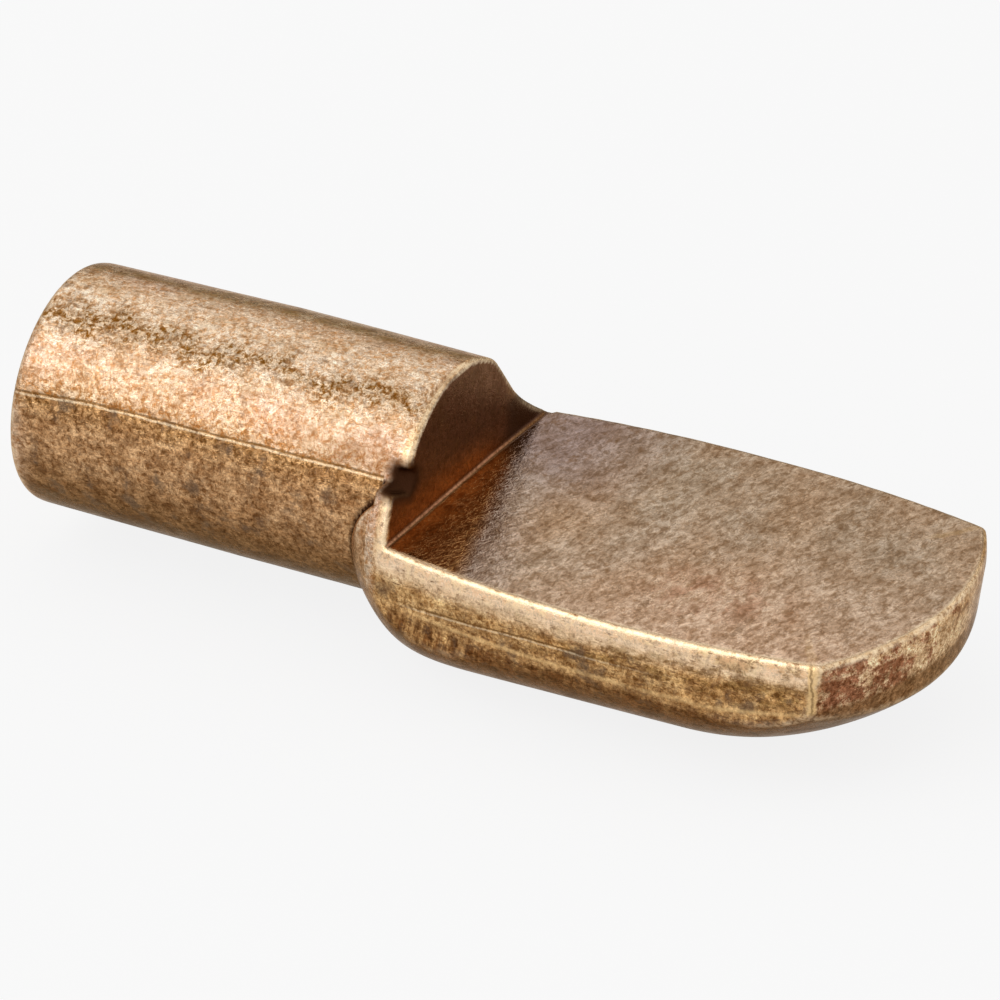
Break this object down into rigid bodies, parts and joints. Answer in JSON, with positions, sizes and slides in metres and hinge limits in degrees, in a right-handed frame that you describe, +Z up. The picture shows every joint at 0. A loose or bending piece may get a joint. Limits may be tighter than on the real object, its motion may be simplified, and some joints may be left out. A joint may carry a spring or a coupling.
{
  "type": "shelf support pin",
  "caption": "One-piece spoon shelf pin: a round pin for a drilled hole, a swelled flange with a shoulder wall, and a flat, bowed blade that carries a shelf.",
  "frame": {"origin": "on the pin's axis, where the plain pin meets the back of the flange", "axes": "+X from the pin towards the blade's tip, +Z up out of the seat that carries the shelf, +Y to the side that completes a right-handed frame"},
  "size_m": [0.0247, 0.0094, 0.007],
  "materials": {
    "antique_brass": "dark patina, tumbled back to bright metal on the edges"
  },
  "bodies": {
    "root": {"shelf_pin": "antique_brass"}
  },
  "joints": []
}
